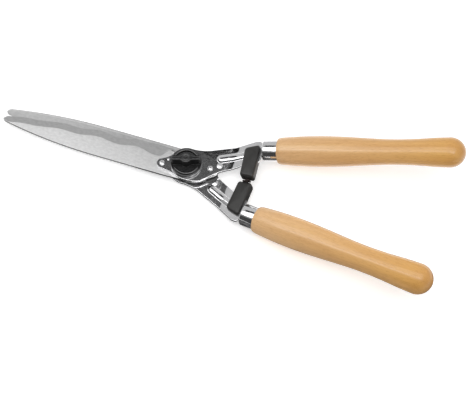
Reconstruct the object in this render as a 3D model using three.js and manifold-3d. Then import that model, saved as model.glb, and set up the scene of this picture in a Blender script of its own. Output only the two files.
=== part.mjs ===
// Two-handed hedge shears, closed. Millimetres, +Z up.
// X runs from the blade tips to the wooden handles, Y across the two levers, and the shears lie with
// their adjusting knob on top. The origin is on the pivot axis, at the flat outer face of the bolt head.
// The front lever carries the lower blade (-Y) and the upper handle (+Y); the rear lever is its mirror
// image underneath it.

import * as THREE from 'three';
import { mergeVertices } from 'three/addons/utils/BufferGeometryUtils.js';
import Module from 'manifold-3d';

const wasm = await Module();
wasm.setup();

const rad = THREE.MathUtils.degToRad;

// ---------- driving dimensions ----------

const GAP = 0.3;                     // between pieces that touch
const INTERFACE_HEIGHT = 10;         // the plane where the blades meet, above the bolt head's face

const BLADE = {
  thickness: 3, edgeThickness: 0.4, bevelWidth: 9,
  tipX: -234, rootX: -26, tipRound: 5, spineHalf: 20.6,
  taperStart: -110, taperEnd: -230, taperDrop: 11.1,
  edgeHalf: 13.4, edgeFlatX: -50, edgeRun: 174, edgePower: 2.5,
  wavePitch: 49.5, waveCrestX: -65.5, waveHeight: 2, waveGrowth: 0.01125,
  bossRadius: 18.3, heelRadius: 9.6,
};
const ARM = {
  thickness: 3, bossRadius: 21.4, noseRadius: 6.6, foldX: 52, foldHalf: 4, crank: rad(14),
  tangWidth: 12, tangLength: 62, cornerRadius: 4,
};
const RIB = {
  start: [38, 18.2], end: [66, 32], width: 9.6, height: 2.2, grooveWidth: 5.6, grooveDepth: 1.6,
};
const RIVETS = {
  nose: { at: [-28.2, -7.5], shank: 2.4, head: 3.3, headHeight: 1.1 },
  locating: { at: [-22.4, -0.8], shank: 1.1, head: 1.6, headHeight: 0.5 },
  heel: { at: [29.5, 2.6], shank: 2.4, head: 3.1, headHeight: 1.1 },
};
const HANDLE = {
  start: [84, 40.7], splay: rad(10), neckRadius: 11.6, woodStart: 17.8,
  capStart: 218.5, capRadius: 17.7, end: 236.5,
};
const FERRULE = { radius: 13, wall: 1, length: 17.5, frontRound: 2 };
const BUFFER = {
  depth: 17, round: 3, contactX: [15.2, 33], contactY: 1.35, padDepth: 1.7, padLength: 11, padHeight: 6.4,
};
const BUFFER_SCREW = { at: [24.7, 23], radius: 1.9, headRadius: 3.8, reach: 5 };
const BOLT = {
  headRadius: 11, square: 10, shoulder: 6.3, shank: 4.9, thread: 3.9, flat: 3.1, end: 18.5,
};
const BUSH = { outer: 6.3, bore: 5 };
const KNOB = {
  angle: rad(17.4), skirt: 18.9, ledge: 11.6, rim: 17.2, rimWidth: 3.4, rimTop: 14.3, rimReach: 13.8,
  floor: 10.7, roof: 9.55, cavity: 13, barWidth: 5, barLength: 34, barTop: 23.15, boss: 5.9, hole: 1.4,
};
const INSERT = { radius: 4.8, bore: 4, bottom: 10, top: 19.8 };
const FRICTION_DISC = { outer: 12.5, thickness: 0.6 };
const SPRING_WASHER = { inner: 4.6, outer: 9.6, thickness: 0.4, cone: 0.3 };
const TAB_WASHER = { outer: 9.6, thickness: 0.6 };

const bladeBase = GAP / 2;
const armBase = bladeBase + BLADE.thickness + GAP;
const armTop = armBase + ARM.thickness;
const armMiddle = armBase + ARM.thickness / 2;

// ---------- materials ----------

const steel = new THREE.MeshStandardMaterial({ color: 0xc9cbcd, roughness: 0.28, metalness: 1 });
const chrome = new THREE.MeshStandardMaterial({ color: 0xd9dadb, roughness: 0.08, metalness: 1 });
const brass = new THREE.MeshStandardMaterial({ color: 0xb9974f, roughness: 0.3, metalness: 1 });
const wood = new THREE.MeshStandardMaterial({ color: 0xe0b277, roughness: 0.35, metalness: 0 });
const rubber = new THREE.MeshStandardMaterial({ color: 0x2e2d2e, roughness: 0.6, metalness: 0 });
const padRubber = new THREE.MeshStandardMaterial({ color: 0x3a2523, roughness: 0.7, metalness: 0 });
const plastic = new THREE.MeshStandardMaterial({ color: 0x1f1f20, roughness: 0.4, metalness: 0 });

// ---------- helpers ----------

function toSolid(geometry) {
  const plain = geometry.clone();
  plain.deleteAttribute('normal');
  plain.deleteAttribute('uv');
  const merged = mergeVertices(plain, 1e-4);
  const index = merged.index.array;
  const triangles = [];
  for (let i = 0; i < index.length; i += 3) {
    const [a, b, c] = [index[i], index[i + 1], index[i + 2]];
    if (a !== b && b !== c && c !== a) triangles.push(a, b, c);
  }
  return new wasm.Manifold(new wasm.Mesh({
    numProp: 3,
    vertProperties: Float32Array.from(merged.attributes.position.array),
    triVerts: Uint32Array.from(triangles),
  }));
}

function toGeometry(solid) {
  const mesh = solid.getMesh();
  const geometry = new THREE.BufferGeometry();
  geometry.setAttribute('position', new THREE.BufferAttribute(Float32Array.from(mesh.vertProperties), 3));
  geometry.setIndex(new THREE.BufferAttribute(Uint32Array.from(mesh.triVerts), 1));
  return geometry;
}

function piece(name, geometry, material) {
  const mesh = new THREE.Mesh(geometry, material);
  mesh.name = name;
  return mesh;
}

// A solid of revolution about Z from [radius, z] points.
function turned(points, segments = 36) {
  const profile = points.map(([radius, z]) => new THREE.Vector2(radius, z));
  return new THREE.LatheGeometry(profile, segments).rotateX(Math.PI / 2);
}

function disc(radius, bottom, top, segments = 36) {
  return turned([[0, bottom], [radius, bottom], [radius, top], [0, top]], segments);
}

function plate(shape, bottom, top, curveSegments = 8) {
  const options = { depth: top - bottom, bevelEnabled: false, curveSegments };
  return new THREE.ExtrudeGeometry(shape, options).translate(0, 0, bottom);
}

function block(low, high) {
  const size = high.map((value, i) => value - low[i]);
  const middle = high.map((value, i) => (value + low[i]) / 2);
  return new THREE.BoxGeometry(...size).translate(...middle);
}

// ---------- blades ----------

function spineY(x) {
  const t = Math.max(0, (BLADE.taperStart - x) / (BLADE.taperStart - BLADE.taperEnd));
  return -BLADE.spineHalf + BLADE.taperDrop * t * t;
}

// The cutting edge rises from the tip and swells into long waves that grow towards the pivot.
function edgeY(x) {
  const run = Math.max(0, (BLADE.edgeFlatX - x) / BLADE.edgeRun);
  const wave = Math.max(0, BLADE.waveHeight + (x - BLADE.waveCrestX) * BLADE.waveGrowth);
  const phase = (2 * Math.PI * (x - BLADE.waveCrestX)) / BLADE.wavePitch;
  return BLADE.edgeHalf * (1 - run ** BLADE.edgePower) + wave * Math.cos(phase);
}

// Spine, bevel line and edge at one station, drawn together into a rounded tip.
function bladeStation(x) {
  const spine = spineY(x);
  const edge = edgeY(x);
  const bevel = Math.max(edge - BLADE.bevelWidth, spine + 1.2);
  const past = Math.max(0, (BLADE.tipX + BLADE.tipRound - x) / BLADE.tipRound);
  const width = Math.max(0.3, Math.sqrt(Math.max(0, 1 - past * past)));
  const middle = (spine + edge) / 2;
  return [spine, bevel, edge].map((y) => middle + (y - middle) * width);
}

function bladeStrip() {
  const strip = new THREE.BoxGeometry(1, 1, 1, 60, 2, 1);
  const position = strip.attributes.position;
  for (let i = 0; i < position.count; i += 1) {
    const x = THREE.MathUtils.lerp(BLADE.tipX, BLADE.rootX, position.getX(i) + 0.5);
    const column = Math.round((position.getY(i) + 0.5) * 2);
    const height = column === 2 ? BLADE.edgeThickness : BLADE.thickness;
    const z = position.getZ(i) > 0 ? bladeBase + height : bladeBase;
    position.setXYZ(i, x, bladeStation(x)[column], z);
  }
  return strip;
}

function bladeHeelShape() {
  const heel = RIVETS.heel.at;
  const joint = BLADE.rootX - 0.5;
  const shape = new THREE.Shape();
  shape.moveTo(joint, -BLADE.spineHalf);
  shape.lineTo(12, -19.6);
  shape.quadraticCurveTo(20.6, -18.6, 24.6, -14.4);
  shape.absarc(heel[0] + 0.6, heel[1], BLADE.heelRadius, rad(-48), rad(62), false);
  shape.lineTo(14, 16);
  shape.absarc(0, 0, BLADE.bossRadius, rad(52), rad(134), false);
  shape.lineTo(joint, edgeY(joint) - 1);
  return shape;
}

function bladeGeometry() {
  const heel = toSolid(plate(bladeHeelShape(), bladeBase, bladeBase + BLADE.thickness));
  let solid = toSolid(bladeStrip()).add(heel);
  const below = bladeBase - 1;
  const above = bladeBase + BLADE.thickness + 1;
  solid = solid.subtract(toSolid(disc(BUSH.outer + GAP, below, above)));
  for (const rivet of Object.values(RIVETS)) {
    const hole = disc(rivet.shank + GAP, below, above, 16).translate(...rivet.at, 0);
    solid = solid.subtract(toSolid(hole));
  }
  return toGeometry(solid);
}

// ---------- arms ----------

// How far the arm has been bent up towards the knob side at x.
function lift(x) {
  const slope = Math.tan(ARM.crank);
  const past = x - (ARM.foldX - ARM.foldHalf);
  if (past <= 0) return 0;
  if (past >= 2 * ARM.foldHalf) return (x - ARM.foldX) * slope;
  return (past * past * slope) / (4 * ARM.foldHalf);
}

function tangCorner(along, across, side) {
  const turn = new THREE.Vector2(along, across).rotateAround(new THREE.Vector2(), HANDLE.splay);
  return [HANDLE.start[0] + turn.x, (HANDLE.start[1] + turn.y) * side];
}

function armShape(side) {
  const shape = new THREE.Shape();
  const line = (x, y) => shape.lineTo(x, y * side);
  const curve = (cx, cy, x, y) => shape.quadraticCurveTo(cx, cy * side, x, y * side);
  const arc = (x, y, radius, from, to) => {
    shape.absarc(x, y * side, radius, rad(from * side), rad(to * side), side > 0);
  };
  const half = ARM.tangWidth / 2;
  const [noseX, noseY] = RIVETS.nose.at;
  arc(noseX, noseY, ARM.noseRadius, 265, 132);
  curve(-23, 2.2, -18.9, 8.4);
  arc(0, 0, ARM.bossRadius, 156, 84);
  curve(14, 21.6, 25, 26.4);
  line(50, 37.8);
  line(72, 51);
  arc(76.4, 47.8, ARM.cornerRadius, 118, 18);
  shape.lineTo(...tangCorner(-2.4, half, side));
  shape.lineTo(...tangCorner(ARM.tangLength - 4, half, side));
  shape.lineTo(...tangCorner(ARM.tangLength, half - 3.5, side));
  shape.lineTo(...tangCorner(ARM.tangLength, 3.5 - half, side));
  shape.lineTo(...tangCorner(ARM.tangLength - 4, -half, side));
  shape.lineTo(...tangCorner(-0.8, -half, side));
  line(84, 27);
  line(80.5, 20);
  line(79.5, 8);
  line(71.5, 8);
  line(70.5, 18);
  line(64, 15.2);
  line(50.2, 6.8);
  curve(41, 2.2, 34.3, -5.1);
  line(24.6, -14.4);
  curve(20.6, -18.6, 12, -19.6);
  curve(-2, -21.8, -15, -15.8);
  return shape;
}

function ribShape(width, side) {
  const start = new THREE.Vector2(RIB.start[0], RIB.start[1] * side);
  const end = new THREE.Vector2(RIB.end[0], RIB.end[1] * side);
  const heading = end.clone().sub(start).angle();
  const shape = new THREE.Shape();
  const quarter = Math.PI / 2;
  shape.absarc(start.x, start.y, width / 2, heading + quarter, heading + 3 * quarter, false);
  shape.absarc(end.x, end.y, width / 2, heading - quarter, heading + quarter, false);
  return shape;
}

// Cuts the flat arm into strips across the fold and raises each strip's corners to the crank.
function cranked(solid) {
  const steps = 4;
  const cuts = [-60];
  for (let i = 0; i <= steps; i += 1) cuts.push(ARM.foldX + ARM.foldHalf * ((2 * i) / steps - 1));
  cuts.push(200);
  let bent = null;
  for (let i = 0; i + 1 < cuts.length; i += 1) {
    const slab = toSolid(block([cuts[i], -90, -30], [cuts[i + 1], 90, 30]));
    const geometry = toGeometry(solid.intersect(slab));
    const position = geometry.attributes.position;
    for (let k = 0; k < position.count; k += 1) {
      position.setZ(k, position.getZ(k) + lift(position.getX(k)));
    }
    const strip = toSolid(geometry);
    bent = bent ? bent.add(strip) : strip;
  }
  return bent;
}

function armGeometry(side, base) {
  const top = base + ARM.thickness;
  const ribOptions = {
    depth: RIB.height, bevelEnabled: true, bevelThickness: 1, bevelSize: 1.4, bevelOffset: -1.4,
    bevelSegments: 2, curveSegments: 8,
  };
  const rib = new THREE.ExtrudeGeometry(ribShape(RIB.width, side), ribOptions).translate(0, 0, top - 1);
  const groove = plate(ribShape(RIB.grooveWidth, side), base - 1, base + RIB.grooveDepth);
  let solid = toSolid(plate(armShape(side), base, top)).add(toSolid(rib)).subtract(toSolid(groove));
  for (const rivet of Object.values(RIVETS)) {
    const [x, y] = rivet.at;
    const hole = disc(rivet.shank + GAP, base - 1, top + 1, 16).translate(x, y * side, 0);
    solid = solid.subtract(toSolid(hole));
  }
  const pivotHole = side > 0
    ? disc(BUSH.outer + GAP, base - 1, top + 1)
    : squarePrism(BOLT.square + 2 * GAP, base - 1, top + 1);
  solid = cranked(solid.subtract(toSolid(pivotHole)));
  const screw = BUFFER_SCREW;
  const screwHole = disc(screw.radius + 2 * GAP, -BUFFER.depth, BUFFER.depth, 16);
  placeOnCrank(screwHole.translate(screw.at[0], screw.at[1] * side, 0), base + ARM.thickness / 2);
  return toGeometry(solid.subtract(toSolid(screwHole)));
}

function squarePrism(width, bottom, top) {
  return block([-width / 2, -width / 2, bottom], [width / 2, width / 2, top]);
}

// Moves geometry drawn on the flat (x from the fold line) onto the cranked plane.
function placeOnCrank(geometry, middle) {
  return geometry.rotateY(-ARM.crank).translate(ARM.foldX, 0, middle);
}

// ---------- rivets ----------

function rivetGeometry(rivet) {
  const head = armTop + GAP;
  const flush = bladeBase + 0.05;
  return turned([
    [0, flush], [rivet.shank, flush], [rivet.shank, head], [rivet.head, head],
    [rivet.head, head + rivet.headHeight * 0.35], [rivet.head * 0.72, head + rivet.headHeight * 0.85],
    [0, head + rivet.headHeight],
  ], 14);
}

// ---------- rubber buffers ----------

function bufferShape(side) {
  const shape = new THREE.Shape();
  const corners = [
    [BUFFER.contactX[0], BUFFER.contactY], [BUFFER.contactX[1], BUFFER.contactY],
    [31.2, 24], [30, 42.4], [26.6, 45.2], [13, 39.6], [10.9, 36.8], [13, 22],
  ];
  corners.forEach(([x, y], i) => {
    if (i === 0) shape.moveTo(x, y * side);
    else shape.lineTo(x, y * side);
  });
  return shape;
}

function bufferPocket(side) {
  const half = ARM.thickness / 2 + GAP;
  const tab = block([19, 7, -half], [29.4, 60, half]);
  const slot = block([0, 12.8, -half], [60, 60, half]);
  const rib = plate(ribShape(RIB.width + 6 * GAP, 1), 0, ARM.thickness / 2 + RIB.height + 2 * GAP);
  rib.translate(-ARM.foldX, 0, 0).scale(1 / Math.cos(ARM.crank), 1, 1);
  let pocket = toSolid(tab).add(toSolid(slot)).add(toSolid(rib));
  if (side < 0) pocket = pocket.mirror([0, 1, 0]);
  return pocket;
}

// The pad sits on the half of the contact end that faces its partner.
function padBox(side, grow) {
  const middleX = (BUFFER.contactX[0] + BUFFER.contactX[1]) / 2;
  const middleZ = -side * armMiddle * Math.cos(ARM.crank);
  const y = [BUFFER.contactY - 1.2 - grow, BUFFER.contactY - 1.2 + BUFFER.padDepth + grow];
  const low = [middleX - BUFFER.padLength / 2 - grow, Math.min(...y.map((v) => v * side)),
    middleZ - BUFFER.padHeight / 2 - grow];
  const high = [middleX + BUFFER.padLength / 2 + grow, Math.max(...y.map((v) => v * side)),
    middleZ + BUFFER.padHeight / 2 + grow];
  return block(low, high);
}

function bufferGeometry(side) {
  const options = {
    depth: BUFFER.depth - 2 * BUFFER.round, bevelEnabled: true, bevelThickness: BUFFER.round,
    bevelSize: BUFFER.round, bevelOffset: -BUFFER.round, bevelSegments: 3, curveSegments: 4,
  };
  const body = new THREE.ExtrudeGeometry(bufferShape(side), options);
  body.translate(0, 0, BUFFER.round - BUFFER.depth / 2);
  const screw = BUFFER_SCREW;
  const back = -BUFFER.depth / 2;
  const screwRoom = turned([
    [0, back - 1], [screw.headRadius + GAP, back - 1], [screw.headRadius + GAP, back + 2.6],
    [screw.radius + GAP, back + 2.6], [screw.radius + GAP, screw.reach + GAP], [0, screw.reach + GAP],
  ], 16).translate(screw.at[0], screw.at[1] * side, 0);
  const solid = toSolid(body).subtract(bufferPocket(side)).subtract(toSolid(screwRoom))
    .subtract(toSolid(padBox(side, GAP)));
  return toGeometry(solid);
}

function bufferScrewGeometry(side) {
  const screw = BUFFER_SCREW;
  const back = -BUFFER.depth / 2;
  return turned([
    [0, back + 0.6], [screw.headRadius * 0.6, back + 0.6], [screw.headRadius, back + 1.2],
    [screw.headRadius, back + 2.3], [screw.radius, back + 2.3], [screw.radius, screw.reach - 1],
    [0, screw.reach],
  ], 16).translate(screw.at[0], screw.at[1] * side, 0);
}

// ---------- handles ----------

function gripProfile() {
  const grip = new THREE.SplineCurve([
    [HANDLE.woodStart, 14], [20.3, 15.6], [27, 16.6], [45, 17.8], [73, 18.3], [103, 17.3],
    [128, 15.8], [153, 14.9], [179, 15.5], [203, 17.1], [HANDLE.capStart, HANDLE.capRadius],
  ].map(([along, radius]) => new THREE.Vector2(radius, along)));
  const points = grip.getPoints(15);
  const steps = 5;
  for (let i = 1; i < steps; i += 1) {
    const turn = (i / steps) * (Math.PI / 2);
    const along = HANDLE.capStart + (HANDLE.end - HANDLE.capStart) * Math.sin(turn);
    points.push(new THREE.Vector2(HANDLE.capRadius * Math.cos(turn), along));
  }
  return points.map((point) => [point.x, point.y]);
}

// Stands a piece turned about Z on the handle's axis.
function alongHandle(geometry, side) {
  const axis = new THREE.Vector3(1, Math.tan(HANDLE.splay) * side, Math.tan(ARM.crank)).normalize();
  const turn = new THREE.Quaternion().setFromUnitVectors(new THREE.Vector3(0, 0, 1), axis);
  const height = armMiddle * side + lift(HANDLE.start[0]);
  return geometry.applyQuaternion(turn).translate(HANDLE.start[0], HANDLE.start[1] * side, height);
}

function tangRoom(side) {
  const reach = ARM.tangLength + 2;
  const half = ARM.tangWidth / 2 + 2 * GAP;
  const shape = new THREE.Shape();
  [[-3, half], [reach, half], [reach, -half], [-3, -half]].forEach(([along, across], i) => {
    const corner = tangCorner(along, across, side);
    if (i === 0) shape.moveTo(...corner);
    else shape.lineTo(...corner);
  });
  const middle = armMiddle * side;
  const room = plate(shape, middle - ARM.thickness / 2 - GAP, middle + ARM.thickness / 2 + GAP);
  const position = room.attributes.position;
  for (let i = 0; i < position.count; i += 1) {
    position.setZ(i, position.getZ(i) + lift(position.getX(i)));
  }
  return toSolid(room);
}

function handleGeometry(side) {
  const neckStart = FERRULE.wall + GAP;
  const profile = [
    [0, neckStart], [HANDLE.neckRadius, neckStart], [HANDLE.neckRadius, HANDLE.woodStart],
    ...gripProfile(), [0, HANDLE.end],
  ];
  const body = alongHandle(turned(profile, 24), side);
  return toGeometry(toSolid(body).subtract(tangRoom(side)));
}

function ferruleGeometry(side) {
  const { radius, wall, length, frontRound } = FERRULE;
  const profile = [
    [0, 0], [radius - frontRound, 0], [radius - frontRound * 0.35, frontRound * 0.35],
    [radius, frontRound], [radius, length], [radius - wall, length], [radius - wall, wall], [0, wall],
  ];
  const cup = alongHandle(turned(profile), side);
  return toGeometry(toSolid(cup).subtract(tangRoom(side)));
}

// ---------- pivot ----------

function boltGeometry() {
  const outside = -INTERFACE_HEIGHT;
  const seat = -armTop - GAP;
  const head = turned([
    [0, outside], [BOLT.headRadius - 1.2, outside], [BOLT.headRadius, outside + 1.2],
    [BOLT.headRadius, seat], [0, seat],
  ]);
  const neck = squarePrism(BOLT.square, seat - 0.5, -armBase - 0.1);
  const shaft = turned([
    [0, seat - 0.5], [3, seat - 0.5], [3, -armBase - 0.1], [BOLT.shoulder, -armBase + GAP],
    [BOLT.shoulder, -bladeBase], [BOLT.shank, -bladeBase], [BOLT.shank, armTop - 0.2],
    [BOLT.thread, armTop + 0.2], [BOLT.thread, BOLT.end - 0.7], [BOLT.thread - 0.7, BOLT.end],
    [0, BOLT.end],
  ]);
  const flat = block([BOLT.flat, -6, armTop + GAP], [8, 6, BOLT.end + 1]);
  return toGeometry(toSolid(head).add(toSolid(neck)).add(toSolid(shaft)).subtract(toSolid(flat)));
}

function bushGeometry() {
  const bottom = bladeBase + 0.05;
  return turned([
    [BUSH.bore, bottom], [BUSH.outer, bottom], [BUSH.outer, armTop], [BUSH.bore, armTop],
    [BUSH.bore, bottom],
  ]);
}

// A washer with a D-shaped hole that the bolt's flat keeps from turning.
function keyedWasherGeometry(outer, bottom, thickness) {
  const hole = BOLT.thread + GAP;
  const flat = BOLT.flat + GAP;
  const half = Math.acos(flat / hole);
  const shape = new THREE.Shape();
  shape.absarc(0, 0, outer, 0, 2 * Math.PI, false);
  const opening = new THREE.Path();
  opening.absarc(0, 0, hole, half, 2 * Math.PI - half, false);
  shape.holes.push(opening);
  return plate(shape, bottom, bottom + thickness, 12);
}

function springWasherGeometry(bottom) {
  const { inner, outer, thickness, cone } = SPRING_WASHER;
  return turned([
    [inner, bottom + cone], [outer, bottom], [outer, bottom + thickness],
    [inner, bottom + cone + thickness], [inner, bottom + cone],
  ], 24);
}

function insertGeometry() {
  const { radius, bore, bottom, top } = INSERT;
  return turned([[bore, bottom], [radius, bottom], [radius, top], [bore, top], [bore, bottom]], 24);
}

// A skirted disc with a grip bar across a central boss, between two raised arcs of rim that leave the
// finger recesses open at the ends of the bar.
function knobGeometry() {
  const k = KNOB;
  const bottom = armTop + GAP;
  const body = turned([
    [0, k.roof], [k.cavity, k.roof], [k.cavity, bottom], [k.skirt, bottom], [k.skirt, k.ledge - 0.6],
    [k.skirt - 0.6, k.ledge], [k.rim, k.ledge], [k.rim, k.rimTop - 0.7], [k.rim - 0.9, k.rimTop],
    [k.rim - k.rimWidth + 0.9, k.rimTop], [k.rim - k.rimWidth, k.rimTop - 0.7],
    [k.rim - k.rimWidth, k.floor], [0, k.floor],
  ]);
  const above = disc(k.rim, k.floor, k.rimTop + 1);
  const arcs = block([-k.rimReach, -k.rim - 1, k.floor - 1], [k.rimReach, k.rim + 1, k.rimTop + 2]);
  const openings = toSolid(above).subtract(toSolid(arcs));
  const reach = k.barLength / 2;
  const bar = block([-reach, -k.barWidth / 2, k.roof + 0.5], [reach, k.barWidth / 2, k.barTop]);
  const boss = disc(k.boss, k.roof + 0.5, k.barTop, 24);
  const pocket = disc(INSERT.radius + GAP, k.roof - 1, INSERT.top + GAP, 24);
  const hole = disc(k.hole, k.barTop - 2, k.barTop + 1, 16);
  const base = toSolid(body).subtract(openings);
  return toGeometry(base.add(toSolid(bar)).add(toSolid(boss)).subtract(toSolid(pocket))
    .subtract(toSolid(hole)));
}

// ---------- assembly ----------

const shears = new THREE.Group();
shears.position.z = INTERFACE_HEIGHT;

function makeLever(name, side) {
  const lever = new THREE.Group();

  const bladeSet = new THREE.Group();
  bladeSet.rotation.x = side > 0 ? 0 : Math.PI;
  bladeSet.add(piece(`${name}_blade`, bladeGeometry(), steel));
  for (const [place, rivet] of Object.entries(RIVETS)) {
    const kind = place === 'locating' ? 'pin' : 'rivet';
    const pin = piece(`${name}_${place}_${kind}`, rivetGeometry(rivet), steel);
    pin.position.set(...rivet.at, 0);
    bladeSet.add(pin);
  }
  lever.add(bladeSet);

  const base = side > 0 ? armBase : -armTop;
  lever.add(piece(`${name}_arm`, armGeometry(side, base), chrome));

  const buffer = new THREE.Group();
  buffer.position.set(ARM.foldX, 0, base + ARM.thickness / 2);
  buffer.rotation.y = -ARM.crank;
  buffer.add(piece(`${name}_buffer`, bufferGeometry(side), rubber));
  buffer.add(piece(`${name}_buffer_pad`, padBox(side, 0), padRubber));
  buffer.add(piece(`${name}_buffer_screw`, bufferScrewGeometry(side), steel));
  lever.add(buffer);

  lever.add(piece(`${name}_ferrule`, ferruleGeometry(side), chrome));
  lever.add(piece(`${name}_handle`, handleGeometry(side), wood));
  return lever;
}

function makePivot() {
  const pivot = new THREE.Group();
  const discBottom = armTop + GAP;
  const springBottom = discBottom + FRICTION_DISC.thickness + GAP;
  const tabBottom = springBottom + SPRING_WASHER.thickness + SPRING_WASHER.cone + GAP;
  pivot.add(piece('pivot_bolt', boltGeometry(), steel));
  pivot.add(piece('pivot_bush', bushGeometry(), brass));
  pivot.add(piece('friction_disc',
    keyedWasherGeometry(FRICTION_DISC.outer, discBottom, FRICTION_DISC.thickness), plastic));
  pivot.add(piece('spring_washer', springWasherGeometry(springBottom), steel));
  pivot.add(piece('tab_washer',
    keyedWasherGeometry(TAB_WASHER.outer, tabBottom, TAB_WASHER.thickness), steel));
  pivot.add(piece('knob_insert', insertGeometry(), brass));
  const knob = piece('adjusting_knob', knobGeometry(), plastic);
  knob.rotation.z = KNOB.angle;
  pivot.add(knob);
  return pivot;
}

shears.add(makeLever('front', 1));
shears.add(makeLever('rear', -1));
shears.add(makePivot());

export default shears;
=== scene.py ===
"""Hedge shears: the visible surfaces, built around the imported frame. Metres, +Z up, +X to the handles."""
import math

import bmesh
import bpy
import numpy as np
from mathutils import Matrix, Vector, geometry


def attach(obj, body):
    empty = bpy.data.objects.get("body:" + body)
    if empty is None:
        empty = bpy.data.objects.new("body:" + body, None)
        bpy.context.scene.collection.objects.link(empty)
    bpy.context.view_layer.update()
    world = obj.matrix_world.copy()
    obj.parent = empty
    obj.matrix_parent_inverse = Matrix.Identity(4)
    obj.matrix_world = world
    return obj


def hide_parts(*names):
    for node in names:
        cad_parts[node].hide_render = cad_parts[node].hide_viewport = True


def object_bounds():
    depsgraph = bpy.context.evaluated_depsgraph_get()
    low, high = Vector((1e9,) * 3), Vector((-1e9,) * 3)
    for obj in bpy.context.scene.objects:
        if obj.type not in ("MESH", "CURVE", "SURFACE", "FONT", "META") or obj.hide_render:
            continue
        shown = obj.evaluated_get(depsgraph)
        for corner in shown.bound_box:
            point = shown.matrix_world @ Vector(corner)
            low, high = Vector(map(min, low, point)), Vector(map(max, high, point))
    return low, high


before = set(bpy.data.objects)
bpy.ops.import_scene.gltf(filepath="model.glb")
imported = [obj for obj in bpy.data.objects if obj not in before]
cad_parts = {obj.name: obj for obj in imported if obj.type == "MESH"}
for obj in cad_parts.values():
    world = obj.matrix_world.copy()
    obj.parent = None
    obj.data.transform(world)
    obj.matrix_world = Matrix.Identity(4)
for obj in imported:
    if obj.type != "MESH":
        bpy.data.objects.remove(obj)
cad_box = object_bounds()

MM = 0.001
PLANE = 0.010  # height where the blades meet, above the bolt's outer face
LEVERS = {"front": 1, "rear": -1}  # the side of the handle, +Y or -Y
GRIP_END = 236.4  # the round end of the handle, along its axis


# ---------- small tools ----------

def smoothstep(low, high, value):
    """0 below low, 1 above high, and a smooth rise between them."""
    t = np.clip((value - low) / (high - low), 0.0, 1.0)
    return t * t * (3 - 2 * t)


def make_piece(name, vertices, faces, material):
    """A smooth-shaded object from vertices in metres."""
    mesh = bpy.data.meshes.new(name)
    mesh.from_pydata([tuple(v) for v in vertices], [], [tuple(f) for f in faces])
    mesh.validate()
    bm = bmesh.new()
    bm.from_mesh(mesh)
    bmesh.ops.remove_doubles(bm, verts=bm.verts, dist=1e-7)
    bmesh.ops.recalc_face_normals(bm, faces=bm.faces)
    bm.to_mesh(mesh)
    bm.free()
    mesh.polygons.foreach_set("use_smooth", [True] * len(mesh.polygons))
    mesh.materials.append(material)
    piece = bpy.data.objects.new(name, mesh)
    bpy.context.scene.collection.objects.link(piece)
    return piece


def sharpen(piece, degrees):
    """Marks edges sharper than this as sharp, so that flats stay flat beside rounded edges."""
    piece.data.set_sharp_from_angle(angle=math.radians(degrees))


def apply_modifiers(piece):
    """Gives a piece the mesh that its modifiers make."""
    graph = bpy.context.evaluated_depsgraph_get()
    mesh = bpy.data.meshes.new_from_object(piece.evaluated_get(graph))
    piece.modifiers.clear()
    piece.data = mesh


def soften(piece, voxel, iterations):
    """Rebuilds a piece as one skin of small faces and relaxes it, as moulding softens every edge."""
    skin = piece.modifiers.new("skin", "REMESH")
    skin.mode = "VOXEL"
    skin.voxel_size = voxel * MM
    skin.use_smooth_shade = True
    relax = piece.modifiers.new("relax", "SMOOTH")
    relax.factor = 0.5
    relax.iterations = iterations
    apply_modifiers(piece)


def stand_for(piece, body, node):
    """Shows a piece in place of a CAD node, moving with a body."""
    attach(piece, body)
    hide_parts(node)


def quads_between(rings, count, first=0):
    """Quads that join closed rings of count vertices, one after another, numbered from first."""
    faces = []
    for ring in range(rings - 1):
        a = first + ring * count
        for i in range(count):
            j = (i + 1) % count
            faces.append((a + i, a + j, a + count + j, a + count + i))
    return faces


def closed_tube(rings, count):
    """Quads between rings, and a face over each end."""
    last = (rings - 1) * count
    ends = [tuple(range(count)), tuple(reversed(range(last, last + count)))]
    return quads_between(rings, count) + ends


def lathe(profile, segments):
    """A closed body turned about Z, from (radius, height) points that start and end on its axis."""
    vertices = []
    rings = []
    for radius, height in profile:
        count = segments if radius > 0 else 1
        rings.append(range(len(vertices), len(vertices) + count))
        turns = [2 * math.pi * i / segments for i in range(count)]
        vertices += [(radius * math.cos(turn), radius * math.sin(turn), height) for turn in turns]
    faces = []
    for lower, upper in zip(rings, rings[1:]):
        for i in range(segments):
            j = (i + 1) % segments
            corners = [lower[i % len(lower)], lower[j % len(lower)],
                       upper[j % len(upper)], upper[i % len(upper)]]
            face = list(dict.fromkeys(corners))
            if len(face) > 2:
                faces.append(face)
    return vertices, faces


def quadratic(start, control, end, t):
    """The point at t on a quadratic curve."""
    return start * (1 - t) ** 2 + control * (2 * t * (1 - t)) + end * t ** 2


def round_corner(before, corner, after, radius, steps, share):
    """Points that round a corner, within this share of each of its sides."""
    to_before, to_after = before - corner, after - corner
    reach = min(radius, to_before.length * share, to_after.length * share)
    start = corner + to_before.normalized() * reach
    end = corner + to_after.normalized() * reach
    return [quadratic(start, corner, end, i / steps) for i in range(steps + 1)]


def rounded(points, radius, steps=5):
    """An open (radius, height) profile with every corner between its ends rounded."""
    result = [points[0]]
    for corner in zip(points, points[1:], points[2:]):
        curve = round_corner(*map(Vector, corner), radius, steps, 0.49)
        result.extend((point.x, point.y) for point in curve)
    result.append(points[-1])
    return result


# ---------- materials ----------

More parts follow.
